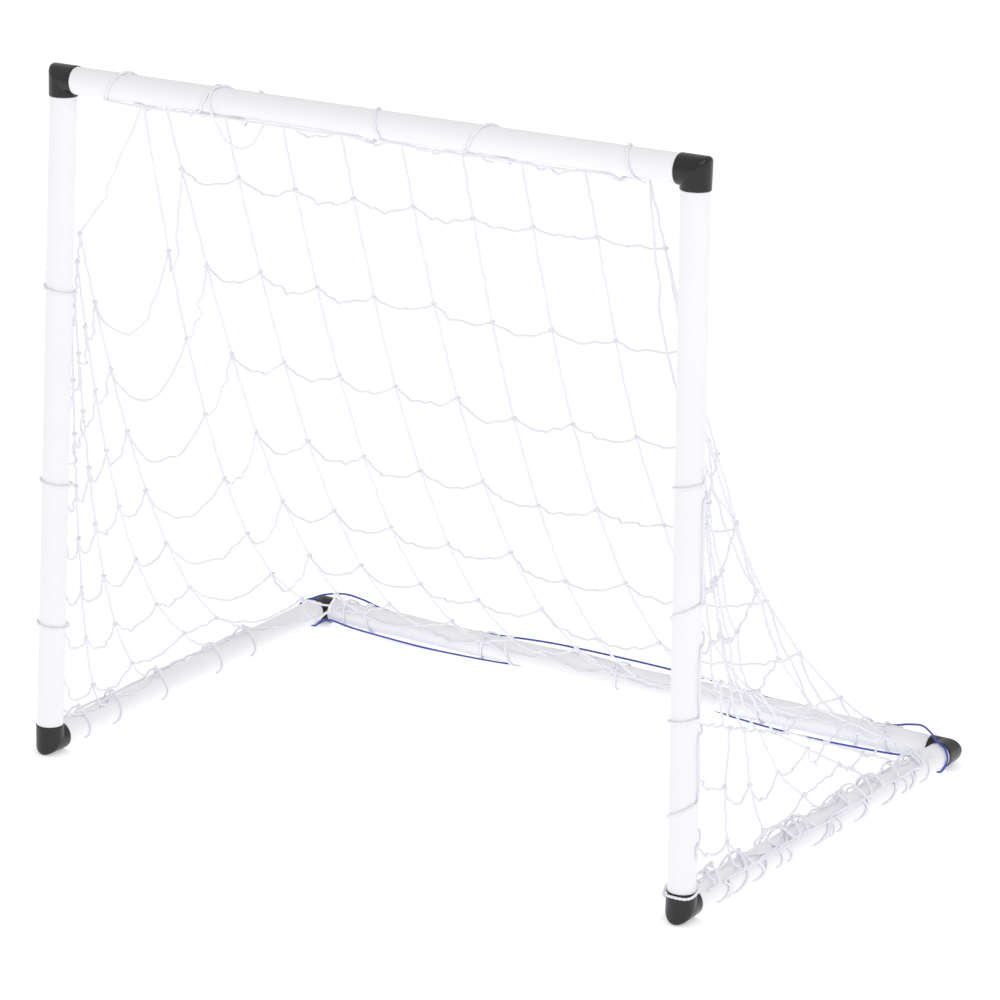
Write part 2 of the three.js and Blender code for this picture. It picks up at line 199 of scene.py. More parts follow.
def mesh_from_rings(name, rings, closed=False, length_unit=1.0):
    """A mesh from strands of rings, an array of strand, ring, place in the ring, and x, y, z.

    Quads join each ring to the next, round and along. A closed strand joins its last ring to its first, and
    an open one has a fan of triangles to the middle of its first and last ring. The UV map runs 0 to 1 round
    a ring, and along the strand in length units.
    """
    strands, count, sides, _ = rings.shape
    first = (np.arange(strands) * count * sides)[:, None, None]
    spans = count if closed else count - 1
    ring = np.arange(spans)[None, :, None]
    place = np.arange(sides)[None, None, :]
    next_place = (place + 1) % sides
    next_ring = (ring + 1) % count
    quads = np.stack([
        first + ring * sides + place,
        first + ring * sides + next_place,
        first + next_ring * sides + next_place,
        first + next_ring * sides + place,
    ], axis=-1).reshape(-1, 4)
    vertices = rings.reshape(-1, 3)

    middles = rings.mean(axis=2)
    steps = np.linalg.norm(np.roll(middles, -1, axis=1) - middles, axis=2)
    run = np.concatenate([np.zeros((strands, 1)), np.cumsum(steps, axis=1)], axis=1)
    run = run / length_unit
    around = np.broadcast_to(place / sides, (strands, spans, sides))
    start = np.broadcast_to(run[:, :spans, None], (strands, spans, sides))
    end = np.broadcast_to(run[:, 1:spans + 1, None], (strands, spans, sides))
    quad_uv = np.stack([
        np.stack([around, start], -1),
        np.stack([around + 1 / sides, start], -1),
        np.stack([around + 1 / sides, end], -1),
        np.stack([around, end], -1),
    ], axis=3).reshape(-1, 2)

    loops, uvs = quads.ravel(), quad_uv
    triangles = np.zeros((0, 3), int)
    if not closed:
        near = len(vertices) + np.arange(strands)
        far = near + strands
        vertices = np.concatenate([vertices, middles[:, 0], middles[:, -1]])
        offsets = np.arange(sides)[None, :]
        next_offsets = (offsets + 1) % sides
        base = first[:, :, 0]
        last = base + (count - 1) * sides
        near_middle, far_middle = (np.broadcast_to(end[:, None], (strands, sides)) for end in (near, far))
        near_fan = np.stack([near_middle, base + next_offsets, base + offsets], -1)
        far_fan = np.stack([far_middle, last + offsets, last + next_offsets], -1)
        triangles = np.concatenate([near_fan.reshape(-1, 3), far_fan.reshape(-1, 3)])
        loops = np.concatenate([loops, triangles.ravel()])
        uvs = np.concatenate([uvs, np.zeros((triangles.size, 2))])

    starts = np.concatenate([np.arange(len(quads)) * 4, len(quads) * 4 + np.arange(len(triangles)) * 3])
    mesh = bpy.data.meshes.new(name)
    mesh.vertices.add(len(vertices))
    mesh.vertices.foreach_set("co", spread_out(vertices).ravel())
    mesh.loops.add(len(loops))
    mesh.loops.foreach_set("vertex_index", loops)
    mesh.polygons.add(len(starts))
    mesh.polygons.foreach_set("loop_start", starts)
    mesh.polygons.foreach_set("use_smooth", np.ones(len(starts), bool))
    mesh.uv_layers.new(name="UVMap").data.foreach_set("uv", uvs.ravel())
    mesh.update(calc_edges=True)
    mesh.validate()
    return mesh


def arc_points(middle, radius, start, end, count):
    """Points on an arc: middle plus radius times the cosine and sine of angles, start to end, in degrees."""
    angles = np.radians(np.linspace(start, end, count))
    return np.stack([middle[0] + radius * np.cos(angles), middle[1] + radius * np.sin(angles)], -1)


def tube_profile(length):
    """The wall's outline as distance along the tube and radius: outside, rounded rim, bore, rounded rim."""
    outer, inner = tube_radius, tube_radius - tube_wall
    near, far = rim_round, length - rim_round
    run = np.linspace(near, far, 40)[1:-1]
    return np.concatenate([
        arc_points((near, outer - rim_round), rim_round, 180, 90, 5),
        np.stack([run, np.full_like(run, outer)], -1),
        arc_points((far, outer - rim_round), rim_round, 90, 0, 5),
        arc_points((far, inner + rim_round), rim_round, 0, -90, 5),
        np.stack([run[::-1], np.full_like(run, inner)], -1),
        arc_points((near, inner + rim_round), rim_round, 270, 180, 5),
    ])


def turned_rings(start, along, profile, sides):
    """Rings of a turned shape: start, plus along times distance, plus radius times a circle square to it."""
    across = np.cross(along, back if abs(along @ back) < 0.5 else up)
    beside = np.cross(along, across)
    angles = np.linspace(0, 2 * np.pi, sides, endpoint=False)
    circle = np.cos(angles)[:, None] * across + np.sin(angles)[:, None] * beside
    return start + profile[:, :1, None] * along + profile[:, 1:, None] * circle


# Extruded polyethylene: milky white with a soft sheen, faint lines along the
# tube, and a slight unevenness of gloss from handling.
tube_plastic, tree, shader = surface_material(
    "extruded white polyethylene", Roughness=0.34, IOR=1.5, Specular_IOR_Level=0.42)
place = add_node(tree, "ShaderNodeTexCoord").outputs["Object"]
cloud = add_node(tree, "ShaderNodeTexNoise", Vector=place, Scale=9.0, Detail=3.0)
tint = add_node(tree, "ShaderNodeMix", {"data_type": "RGBA"}, i0=cloud.outputs["Fac"],
                i6=linear("#F4F4F6"), i7=linear("#F8F8F9"))
tree.links.new(tint.outputs[2], shader.inputs["Base Color"])
handled = add_node(tree, "ShaderNodeTexNoise", Vector=place, Scale=38.0, Detail=4.0)
gloss = add_node(tree, "ShaderNodeMapRange", Value=handled.outputs["Fac"], To_Min=0.29, To_Max=0.41)
tree.links.new(gloss.outputs["Result"], shader.inputs["Roughness"])
around_tube = add_node(tree, "ShaderNodeTexCoord").outputs["UV"]
stretched = add_node(tree, "ShaderNodeMapping", Vector=around_tube, Scale=(90.0, 2.0, 1.0))
draw_lines = add_node(tree, "ShaderNodeTexNoise", Vector=stretched.outputs["Vector"], Scale=1.0, Detail=2.0)
bump = add_node(tree, "ShaderNodeBump", Height=draw_lines.outputs["Fac"], Strength=0.05, Distance=0.0003)
tree.links.new(bump.outputs["Normal"], shader.inputs["Normal"])

tube_end = bar_low[0] + post_x
tube_ways = {
    "crossbar": (right, (-post_x, front_y, top_z), (post_x, front_y, top_z)),
    "rear_base_tube": (right, (-post_x, rear_y, base_z), (post_x, rear_y, base_z)),
    "left_base_tube": (back, (-post_x, front_y, base_z), (-post_x, rear_y, base_z)),
    "right_base_tube": (back, (post_x, front_y, base_z), (post_x, rear_y, base_z)),
    "left_post": (up, (-post_x, front_y, base_z), (-post_x, front_y, top_z)),
    "right_post": (up, (post_x, front_y, base_z), (post_x, front_y, top_z)),
}
for node, (along, start, end) in tube_ways.items():
    length = (np.array(end) - start) @ along - 2 * tube_end
    rings = turned_rings(start + along * tube_end, along, tube_profile(length), 96)[None]
    mesh = mesh_from_rings("white_" + node, rings, closed=True)
    link_piece("white_" + node, mesh, tube_plastic, node)

# ---------------------------------------------------------------- connectors
# Six two-way elbows of black moulded plastic, mitred at the corner, with a
# hollow spigot on each leg that the tubes push over. A fine parting line
# from the mould runs round each one.

face_gap = 0.0003                # between a leg's end and the tube's
push_fit = 0.0003                # between a spigot and the tube's bore, all round
leg_length = bar_low[0] - face_gap + post_x
spigot_radius = tube_radius - tube_wall - push_fit
spigot_wall = 0.0022
bore_root = leg_length + 0.004   # the spigot's bore stops here
bore_pole = 0.00001              # radius of the small ring at the middle of the bore's end
leg_rim = 0.0007
spigot_rim = 0.0008
spigot_fillet = 0.0002
parting_height = 0.00012
parting_width = 0.00035          # as a share of the sine of the angle round the leg
inner_round = 0.0003
outer_round = 0.0042             # radius of the mitre's outside, reached over the width below
round_width = 0.024


def elbow_rings(corner, first, second, sides=96):
    """Rings along an elbow: leg, rounded mitre, leg, each place in a ring keeping its own angle.

    In the plane of the two legs, a line at angle a starts on the first leg at the offset -radius * sin(a)
    from the leg's axis, turns through an arc that touches both legs, and ends on the second at the same
    offset.
    """
    angles = np.linspace(0, 2 * np.pi, sides, endpoint=False)
    normal = np.cross(first, second)
    seam = parting_height * np.exp(-((np.abs(np.sin(angles)) - 1) / parting_width) ** 2)
    radius = body_radius - parting_height + seam
    offset = -radius * np.sin(angles)
    turn = inner_round + (outer_round - inner_round) * np.clip(0.5 - offset / round_width, 0, 1)
    legs = np.linspace(1, 0, 7)[:, None] ** 0.8
    leg_start = leg_length - leg_rim
    first_run = offset + turn + (leg_start - offset - turn) * legs
    rows = [np.stack([first_run, np.broadcast_to(offset, first_run.shape)], -1)]
    arc = np.radians(np.linspace(0, 90, 12))[1:-1, None]
    rows.append(np.stack([offset + turn - turn * np.sin(arc), offset + turn - turn * np.cos(arc)], -1))
    rows.append(np.stack([np.broadcast_to(offset, first_run.shape), first_run[::-1]], -1))
    plane = np.concatenate(rows)
    height = (radius * np.cos(angles))[None, :, None] * normal
    body = corner + plane[..., :1] * first + plane[..., 1:] * second + height

    spigot = np.array([
        (bore_root, bore_pole), (bore_root, spigot_radius - spigot_wall),
        (spigot_end, spigot_radius - spigot_wall),
        (spigot_end, spigot_radius - spigot_rim), (spigot_end - spigot_rim, spigot_radius),
        (leg_length + spigot_fillet, spigot_radius), (leg_length, spigot_radius + spigot_fillet),
        (leg_length, body_radius - leg_rim), (leg_length - 0.3 * leg_rim, body_radius - 0.3 * leg_rim),
    ])
    along, size = spigot[:, :1, None], spigot[:, 1:, None]
    cosine, sine = np.cos(angles)[:, None], np.sin(angles)[:, None]
    first_end = corner + along * first + size * (cosine * normal - sine * second)
    second_end = corner + along * second + size * (cosine * normal - sine * first)
    return np.concatenate([first_end, body, second_end[::-1]])


# Moulded polypropylene: near black with a satin gloss, a fine eggshell grain
# from the mould and greyer where it has rubbed.
connector_plastic, tree, shader = surface_material(
    "moulded black polypropylene", Roughness=0.3, IOR=1.49, Specular_IOR_Level=0.5)
place = add_node(tree, "ShaderNodeTexCoord").outputs["Object"]
cloud = add_node(tree, "ShaderNodeTexNoise", Vector=place, Scale=60.0, Detail=4.0)
tint = add_node(tree, "ShaderNodeMix", {"data_type": "RGBA"}, i0=cloud.outputs["Fac"],
                i6=linear("#0D0D0E"), i7=linear("#1B1B1D"))
tree.links.new(tint.outputs[2], shader.inputs["Base Color"])
gloss = add_node(tree, "ShaderNodeMapRange", Value=cloud.outputs["Fac"], To_Min=0.2, To_Max=0.34)
tree.links.new(gloss.outputs["Result"], shader.inputs["Roughness"])
grain = add_node(tree, "ShaderNodeTexNoise", Vector=place, Scale=1400.0, Detail=2.0)
bump = add_node(tree, "ShaderNodeBump", Height=grain.outputs["Fac"], Strength=0.12, Distance=0.0002)
tree.links.new(bump.outputs["Normal"], shader.inputs["Normal"])

elbows = {
    "top_left_connector": ((-post_x, front_y, top_z), right, -up),
    "top_right_connector": ((post_x, front_y, top_z), -right, -up),
    "front_left_connector": ((-post_x, front_y, base_z), up, back),
    "front_right_connector": ((post_x, front_y, base_z), up, back),
    "rear_left_connector": ((-post_x, rear_y, base_z), -back, right),
    "rear_right_connector": ((post_x, rear_y, base_z), -back, -right),
}
for node, (corner, first, second) in elbows.items():
    name = node.replace("connector", "elbow")
    rings = elbow_rings(np.array(corner), first, second)[None]
    link_piece(name, mesh_from_rings(name, rings[:, :, ::-1]), connector_plastic, node)

# ---------------------------------------------------------------- net
# One knotted net of soft white polypropylene twine, 8 meshes down, with 9
# across the back, 5 at the left side and 7 at the right. It hangs from the
# crossbar and the posts, and its foot is laced to the three base tubes.

twine_radius = 0.0013
twine_sides = 8
twine_pitch = 0.009              # length in which the plies go once round
knot_size = 0.00092
net_gap = 0.0195                 # from a tube's axis to the net's edge twine
# Where the net's edges lie round the crossbar and round the rear tube, in degrees from +Y towards +Z.
top_tilt, foot_tilt = -53, 142.5
meshes_down = 8
last_column = 21                 # the left side is columns 0 to 5, the back 5 to 14, the right 14 to 21
left_fold, right_fold = 5, 14
pieces_of_strand = 6
depth = rear_y - front_y
chance = np.random.default_rng(11)

# Shares of the crossbar and of the rear tube where the back columns start and end, from the left.
top_shares = [0.126, 0.165, 0.265, 0.36, 0.455, 0.55, 0.645, 0.735, 0.83, 0.925]
foot_shares = [0.045, 0.085, 0.185, 0.295, 0.40, 0.505, 0.61, 0.70, 0.81, 0.91]
# Shares of a side tube, from the front, where the side columns end.
left_shares = [0.05, 0.20, 0.37, 0.57, 0.70]
right_shares = [0.88, 0.80, 0.69, 0.54, 0.36, 0.20, 0.05]
# Heights of the knots tied to each post, and heights where the side columns
# start, tied there too: the net's top edge comes down from the crossbar.
post_heights = [0.440, 0.400, 0.350, 0.300, 0.250, 0.200, 0.150, 0.090, 0.045]
left_top_heights = [0.440, 0.480, 0.515, 0.550, 0.580]
right_top_heights = [0.490, 0.482, 0.474, 0.466, 0.458, 0.450, 0.440]

# Length of the strands going down, as a share of the straight distance, at some of the columns.
slack_columns = [0, 1, 5, 13, 14, 15, 16, 20, 21]
down_slack = [1.02, 1.06, 1.018, 1.03, 1.012, 1.02, 1.03, 1.10, 1.02]
across_slack = 1.022
top_edge_slack = 1.004
left_mesh, right_mesh = 0.062, 0.055   # least width of a side mesh
bundle_mesh = 0.020              # width of the right side's meshes that hang together in a bundle,
bundle_end = 6                   # which ends above this row
# The left fold hangs a step lower than the column beside it, in loose bights, from the top down.
fold_drops = [1.55, 1.0, 0.93, 0.92, 0.92, 0.92, 0.92, 0.92]
fold_bights = [0.150, 0.115, 0.105, 0.100, 0.095, 0.090, 0.080]
# The first mesh under the crossbar is short, as the net's edge is drawn up round the tube.
first_mesh, other_meshes = 0.66, 1.05

step_kept = 0.96                 # share of a point's last step that it keeps
first_fall, last_fall = 0.00002, 0.0000004
pull_share = 1.6                 # ropes are pulled in by more than they are over, to settle sooner
strand_off_tube = 0.0022
strand_off_ground = 0.0016


def net_rest():
    """Knots of a straight net, an array of row, column and x, y, z, and which are tied to a tube."""
    top = np.zeros((last_column + 1, 3))
    foot = np.zeros((last_column + 1, 3))
    back_columns = slice(left_fold, right_fold + 1)
    top_angle, foot_angle = np.radians(top_tilt), np.radians(foot_tilt)
    top[:, 1] = front_y + net_gap * np.cos(top_angle)
    top[:, 2] = top_z + net_gap * np.sin(top_angle)
    top[back_columns, 0] = post_x * (2 * np.array(top_shares) - 1)
    foot[back_columns, 0] = post_x * (2 * np.array(foot_shares) - 1)
    foot[back_columns, 1] = rear_y + net_gap * np.cos(foot_angle)
    foot[back_columns, 2] = base_z + net_gap * np.sin(foot_angle)
    sides = (
        (-1, slice(0, left_fold), left_top_heights, left_shares),
        (1, slice(right_fold + 1, last_column + 1), right_top_heights, right_shares),
    )
    for side, columns, heights, shares in sides:
        from_post = np.arange(len(heights))[::-side]
        top[columns, 0] = side * (post_x - 0.001 * from_post)
        top[columns, 1] = front_y + net_gap + 0.002 * from_post
        top[columns, 2] = heights
        foot[columns, 0] = side * post_x
        foot[columns, 1] = front_y + depth * np.array(shares)
        foot[columns, 2] = base_z + net_gap
    share = np.linspace(0, 1, meshes_down + 1)[:, None, None]
    knots = top + (foot - top) * share
    tied = np.zeros(knots.shape[:2], bool)
    tied[0] = tied[-1] = True
    for side, column in ((-1, 0), (1, last_column)):
        knots[:, column, 0] = side * post_x
        knots[:, column, 1] = front_y + net_gap
        knots[:, column, 2] = post_heights
        tied[:, column] = True
    return knots, tied


def push_out_of_tubes(points, gap):
    """Moves points that are nearer than gap to a tube's surface straight away from the tube's axis."""
    for along, start, end in tube_ways.values():
        run = np.clip((points - start) @ along, 0, (np.array(end) - start) @ along)
        away = points - start - run[:, None] * along
        distance = np.linalg.norm(away, axis=1)
        short = np.maximum(tube_radius + gap - distance, 0)
        points += away * (short / np.maximum(distance, 1e-9))[:, None]
    return points


def hang(points, first, second, lengths, held, rounds):
    """Lets a net of ropes fall until it hangs still.

    Each round moves every free point on by most of its last step, and down by a fall that fades away over the
    rounds. Then, four times over, it shortens the ropes that are stretched: both ends move towards each other
    by half of what is over, averaged at each point over its ropes. Points inside a tube come out of it.
    """
    count = len(points)
    free = (~held).astype(float)[:, None]
    ropes = np.maximum(np.bincount(np.concatenate([first, second]), minlength=count), 1)[:, None]
    before = points.copy()
    for number in range(rounds):
        fall = first_fall * (1 - number / rounds) ** 3 + last_fall
        step = step_kept * (points - before) - np.array([0, 0, fall])
        before = points.copy()
        points = points + step * free
        for _ in range(4):
            gap = points[second] - points[first]
            distance = np.linalg.norm(gap, axis=1)
            over = np.maximum(distance - lengths, 0) / np.maximum(distance, 1e-9)
            pull = gap * (0.5 * over)[:, None]
            moved = np.stack([np.bincount(first, pull[:, k], count) - np.bincount(second, pull[:, k], count)
                              for k in range(3)], -1)
            points = points + moved / ropes * pull_share * free
        points = np.where(held[:, None], points, push_out_of_tubes(points.copy(), strand_off_tube))
        points[:, 2] = np.maximum(points[:, 2], strand_off_ground)
    return points


def hung_net():
    """The knots and strands of the hung net, and how many go down: those come before the ones across."""
    knots, tied = net_rest()
    rows, columns = tied.shape
    knot_ids = np.arange(rows * columns).reshape(rows, columns)
    down_ends = np.stack([knot_ids[:-1], knot_ids[1:]], -1).reshape(-1, 2)
    across_ends = np.stack([knot_ids[:, :-1], knot_ids[:, 1:]], -1).reshape(-1, 2)
    ends = np.concatenate([down_ends, across_ends])
    flat = knots.reshape(-1, 3)
    spacing = np.linalg.norm(flat[ends[:, 1]] - flat[ends[:, 0]], axis=1)

    slack = np.interp(np.arange(columns), slack_columns, down_slack)
    down_length = spacing[:len(down_ends)].reshape(rows - 1, columns) * slack
    down_length[:, left_fold] *= np.array(fold_drops)
    down_length[0, left_fold + 1:right_fold + 1] *= first_mesh
    down_length[1:, left_fold + 1:right_fold + 1] *= other_meshes
    across_spacing = spacing[len(down_ends):].reshape(rows, columns - 1)
    across_length = across_spacing * across_slack
    across_length[1:-1, :left_fold] = np.maximum(across_length[1:-1, :left_fold], left_mesh)
    across_length[1:-1, right_fold:] = np.maximum(across_length[1:-1, right_fold:], right_mesh)
    across_length[1:bundle_end, right_fold + 2:last_column - 1] = bundle_mesh
    across_length[1:-1, left_fold] = fold_bights
    across_length[0] = across_spacing[0] * top_edge_slack
    length = np.concatenate([down_length.ravel(), across_length.ravel()])
    length *= chance.uniform(0.985, 1.03, len(length))

    inner = pieces_of_strand - 1
    inner_ids = len(flat) + np.arange(len(ends) * inner).reshape(-1, inner)
    shares = np.linspace(0, 1, pieces_of_strand + 1)[1:-1, None]
    inner_points = flat[ends[:, 0], None] * (1 - shares) + flat[ends[:, 1], None] * shares
    chains = np.concatenate([ends[:, :1], inner_ids, ends[:, 1:]], axis=1)
    points = np.concatenate([flat, inner_points.reshape(-1, 3)])
    points[len(flat):] += chance.normal(0, 0.0008, (inner_ids.size, 3))
    held = np.zeros(len(points), bool)
    held[:len(flat)] = tied.ravel()
    piece_length = np.repeat(length / pieces_of_strand, pieces_of_strand)
    rounds = 2500
    points = hang(points, chains[:, :-1].ravel(), chains[:, 1:].ravel(), piece_length, held, rounds)
    return points[:len(flat)].reshape(rows, columns, 3), points[chains], len(down_ends)


def smooth(points, per_span, closed=False):
    """A Catmull-Rom curve through points, an array of strand, point and values, in per_span steps a gap."""
    if closed:
        spread = np.concatenate([points[:, -1:], points, points[:, :2]], axis=1)
    else:
        first = 2 * points[:, :1] - points[:, 1:2]
        last = 2 * points[:, -1:] - points[:, -2:-1]
        spread = np.concatenate([first, points, last], axis=1)
    a, b, c, d = (spread[:, i:spread.shape[1] - 3 + i, None] for i in range(4))
    t = np.linspace(0, 1, per_span, endpoint=False)[:, None]
    square, cube = (2 * a - 5 * b + 4 * c - d) * t ** 2, (3 * b - a - 3 * c + d) * t ** 3
    curve = 0.5 * (2 * b + (c - a) * t + square + cube)
    curve = curve.reshape(len(points), -1, points.shape[2])
    return curve if closed else np.concatenate([curve, points[:, -1:]], axis=1)


def cord_rings(path, radius, sides, pitch, plies=2, groove=0.16, closed=False):
    """Rings of a twisted cord round each path, an array of strand, ring and x, y, z.

    The ring's two directions are carried along the path square to it. The radius falls by the groove between
    the plies, which go once round for each pitch of length. A closed path's rings are turned evenly so that
    they meet, and its plies go round a whole number of times.
    """
    if closed:
        heading = np.roll(path, -1, axis=1) - np.roll(path, 1, axis=1)
    else:
        heading = np.gradient(path, axis=1)
    heading /= np.linalg.norm(heading, axis=2, keepdims=True)
    least = np.argmin(np.abs(heading[:, 0]), axis=1)
    carried = [np.eye(3)[least]]
    for i in range(path.shape[1]):
        side = carried[-1] - (carried[-1] * heading[:, i]).sum(1, keepdims=True) * heading[:, i]
        carried.append(side / np.linalg.norm(side, axis=1, keepdims=True))
    first = np.stack(carried[1:], axis=1)
    second = np.cross(heading, first)
    after = path[:, :1] if closed else path[:, -1:]
    steps = np.linalg.norm(np.diff(path, axis=1, append=after), axis=2)
    run = np.cumsum(steps, axis=1) - steps
    turned = 2 * np.pi * run / pitch
    if closed:
        missed = np.arctan2((first[:, -1] * second[:, 0]).sum(1), (first[:, -1] * first[:, 0]).sum(1))
        length = run[:, -1:] + steps[:, -1:]
        share = run / length
        turned = 2 * np.pi * np.round(length / pitch) * share
        spin = -missed[:, None] * share
        first, second = (np.cos(spin)[..., None] * first + np.sin(spin)[..., None] * second,
                         np.cos(spin)[..., None] * second - np.sin(spin)[..., None] * first)
    angle = np.linspace(0, 2 * np.pi, sides, endpoint=False)
    size = radius * (1 + 0.9 * groove - groove * (1 - np.cos(plies * (angle - turned[..., None]))))
    around = np.cos(angle)[:, None] * first[:, :, None] + np.sin(angle)[:, None] * second[:, :, None]
    return path[:, :, None] + size[..., None] * around


def knot_rings(places, size):
    """Rings of a small overhand knot at each place, turned its own way: the trefoil curve, pulled tight."""
    t = np.linspace(0, 2 * np.pi, 28, endpoint=False)
    loop = size * np.stack([
        np.sin(t) + 2 * np.sin(2 * t),
        np.cos(t) - 2 * np.cos(2 * t),
        -1.5 * np.sin(3 * t),
    ], -1)
    yaw, lean = chance.uniform(0, 2 * np.pi, (2, len(places)))
    ahead = np.stack([np.cos(yaw) * np.sin(lean), np.sin(yaw) * np.sin(lean), np.cos(lean)], -1)
    beside = np.stack([-np.sin(yaw), np.cos(yaw), 0 * yaw], -1)
    third = np.cross(ahead, beside)
    path = (loop[:, 0, None] * beside[:, None] + loop[:, 1, None] * third[:, None]
            + loop[:, 2, None] * ahead[:, None])
    return cord_rings(path + places[:, None], twine_radius * 0.82, 6, twine_pitch, groove=0.1, closed=True)


def join_meshes(name, meshes):
    """One mesh out of several, with their UV maps."""
    pieces = [bpy.data.objects.new(name, mesh) for mesh in meshes]
    for piece in pieces:
        bpy.context.collection.objects.link(piece)
    with bpy.context.temp_override(active_object=pieces[0], selected_editable_objects=pieces):
        bpy.ops.object.join()
    mesh = pieces[0].data
    bpy.data.objects.remove(pieces[0])
    mesh.name = name
    return mesh


# Twisted polypropylene twine: white with a cool cast, dull, with fine
# fibres along the plies that catch the light.
twine_fibre, tree, shader = surface_material(
    "twisted white polypropylene twine", Roughness=0.62, Specular_IOR_Level=0.3, Sheen_Weight=0.25)
place = add_node(tree, "ShaderNodeTexCoord").outputs
patch = add_node(tree, "ShaderNodeTexNoise", Vector=place["Object"], Scale=45.0, Detail=3.0)
tint = add_node(tree, "ShaderNodeMix", {"data_type": "RGBA"}, i0=patch.outputs["Fac"],
                i6=linear("#ECECF4"), i7=linear("#F9F9FD"))
tree.links.new(tint.outputs[2], shader.inputs["Base Color"])
fibre_map = add_node(tree, "ShaderNodeMapping", Vector=place["UV"],
                     Rotation=(0, 0, math.radians(40)), Scale=(14.0, 3.0, 1.0))
fibres = add_node(tree, "ShaderNodeTexNoise", Vector=fibre_map.outputs["Vector"], Scale=2.0, Detail=2.0)
bump = add_node(tree, "ShaderNodeBump", Height=fibres.outputs["Fac"], Strength=0.35, Distance=0.0003)
tree.links.new(bump.outputs["Normal"], shader.inputs["Normal"])


def link_twine(name, strand_mesh, knot_places, size, node):
    """Joins strands and the knots on them into one piece of twine, and links it."""
    knot_mesh = mesh_from_rings(name + "_knots", knot_rings(knot_places, size), closed=True,
                                length_unit=twine_pitch)
    link_piece(name, join_meshes(name, [strand_mesh, knot_mesh]), twine_fibre, node)


knots, strands, down_count = hung_net()
strand_column = np.concatenate([np.tile(np.arange(last_column + 1), meshes_down),
                                np.tile(np.arange(last_column), meshes_down + 1)])
knot_column = np.broadcast_to(np.arange(last_column + 1), knots.shape[:2])
goes_down = np.arange(len(strands)) < down_count

# Every strand is a little wavy, and the slacker ones across more so.
fine = smooth(strands, 7)
wave = np.sin(np.linspace(0, np.pi, fine.shape[1]))[None, :, None]
kinks = smooth(chance.normal(0, 1, (len(strands), 11, 3)), 4)
kink_places = np.linspace(0, kinks.shape[1] - 1, fine.shape[1]).round().astype(int)
kink_size = np.where(goes_down, 0.0004, 0.0014)[:, None, None]
fine = fine + wave * kinks[:, kink_places] * kink_size

# The back net has the folds' own strands and knots.
first_right = np.where(goes_down, right_fold + 1, right_fold)
panels = {
    "left_side_net": (strand_column < left_fold, knot_column < left_fold),
    "back_net": ((strand_column >= left_fold) & (strand_column < first_right),
                 (knot_column >= left_fold) & (knot_column <= right_fold)),
    "right_side_net": (strand_column >= first_right, knot_column > right_fold),
}
for node, (own_strands, own_knots) in panels.items():
    rings = cord_rings(fine[own_strands], twine_radius, twine_sides, twine_pitch)
    strand_mesh = mesh_from_rings(node + "_strands", rings, length_unit=twine_pitch)
    link_twine(node + "_twine", strand_mesh, knots[own_knots], knot_size, node)

# ---------------------------------------------------------------- lacing
# Loose cords of the same twine, wound by hand round each tube and through
# the net's edge, with a knot here and there. Under the base tubes they are
# pressed flat by the goal's weight.

lacing_knot_size = 0.00105
rings_per_turn = 220
tail_length = 0.012
cord_off_tube = 0.00012          # the least gap between a cord's skin and a tube
cord_off_ground = 0.0001         # and between it and the ground
snug_radius = tube_radius + 0.00155
net_side_radius = tube_radius + 0.0085


def wound_stations(turns, run_angle, net_angle):
    """Stations of a cord that winds round a tube: distance along it, angle round it and radius, one a row.

    Each turn is a distance, a slant along the tube and how far it stands off at the net. Between turns the
    cord runs along the tube at the run angle, lifted a little in the middle.
    """
    rows = [(turns[0][0] - turns[0][1] / 2 - tail_length, run_angle, snug_radius + 0.001)]
    for number, (distance, slant, lift) in enumerate(turns):
        angle = np.linspace(0, 360, 15)
        away = np.abs((run_angle + angle - net_angle + 180) % 360 - 180)
        radius = snug_radius + (net_side_radius + lift - snug_radius) * np.exp(-(away / 34) ** 2)
        place = distance + slant * (angle / 360 - 0.5)
        rows += list(zip(place, run_angle + angle + 360 * number, radius))
        if number + 1 < len(turns):
            gap_end = turns[number + 1][0] - turns[number + 1][1] / 2
            gap_start = distance + slant / 2
            for share in (0.3, 0.7):
                wander = chance.uniform(-9, 9)
                rows.append((gap_start + (gap_end - gap_start) * share,
                             run_angle + 360 * (number + 1) + wander,
                             snug_radius + chance.uniform(0.0004, 0.0016)))
    end = turns[-1][0] + turns[-1][1] / 2 + tail_length
    rows.append((end, run_angle + 360 * len(turns), snug_radius + 0.0025))
    return np.array(rows)


def wound_cord(name, start, along, below, side, cords, count, pressed):
    """A mesh of cords round one tube, each given by its stations. Pressed ones stay above the ground."""
    paths = []
    for stations in cords:
        curve = smooth(stations[None], 12)[0]
        radians = np.radians(curve[:, 1])
        path = (np.array(start) + curve[:, :1] * along
                + curve[:, 2:] * (np.cos(radians)[:, None] * below + np.sin(radians)[:, None] * side))
        if pressed:
            path[:, 2] = np.maximum(path[:, 2], 0.0005)
        steps = np.concatenate([[0], np.cumsum(np.linalg.norm(np.diff(path, axis=0), axis=1))])
        even = np.linspace(0, steps[-1], count)
        paths.append(np.stack([np.interp(even, steps, path[:, k]) for k in range(3)], -1))
    rings = cord_rings(np.array(paths), twine_radius, twine_sides, twine_pitch)
    away = rings - np.array(start)
    run = (away @ along)[..., None] * along
    away = away - run
    distance = np.linalg.norm(away, axis=-1, keepdims=True)
    rings = np.array(start) + run + away * np.maximum((tube_radius + cord_off_tube) / distance, 1)
    if pressed:
        rings[..., 2] = np.maximum(rings[..., 2], cord_off_ground)
    return mesh_from_rings(name, rings, length_unit=twine_pitch)


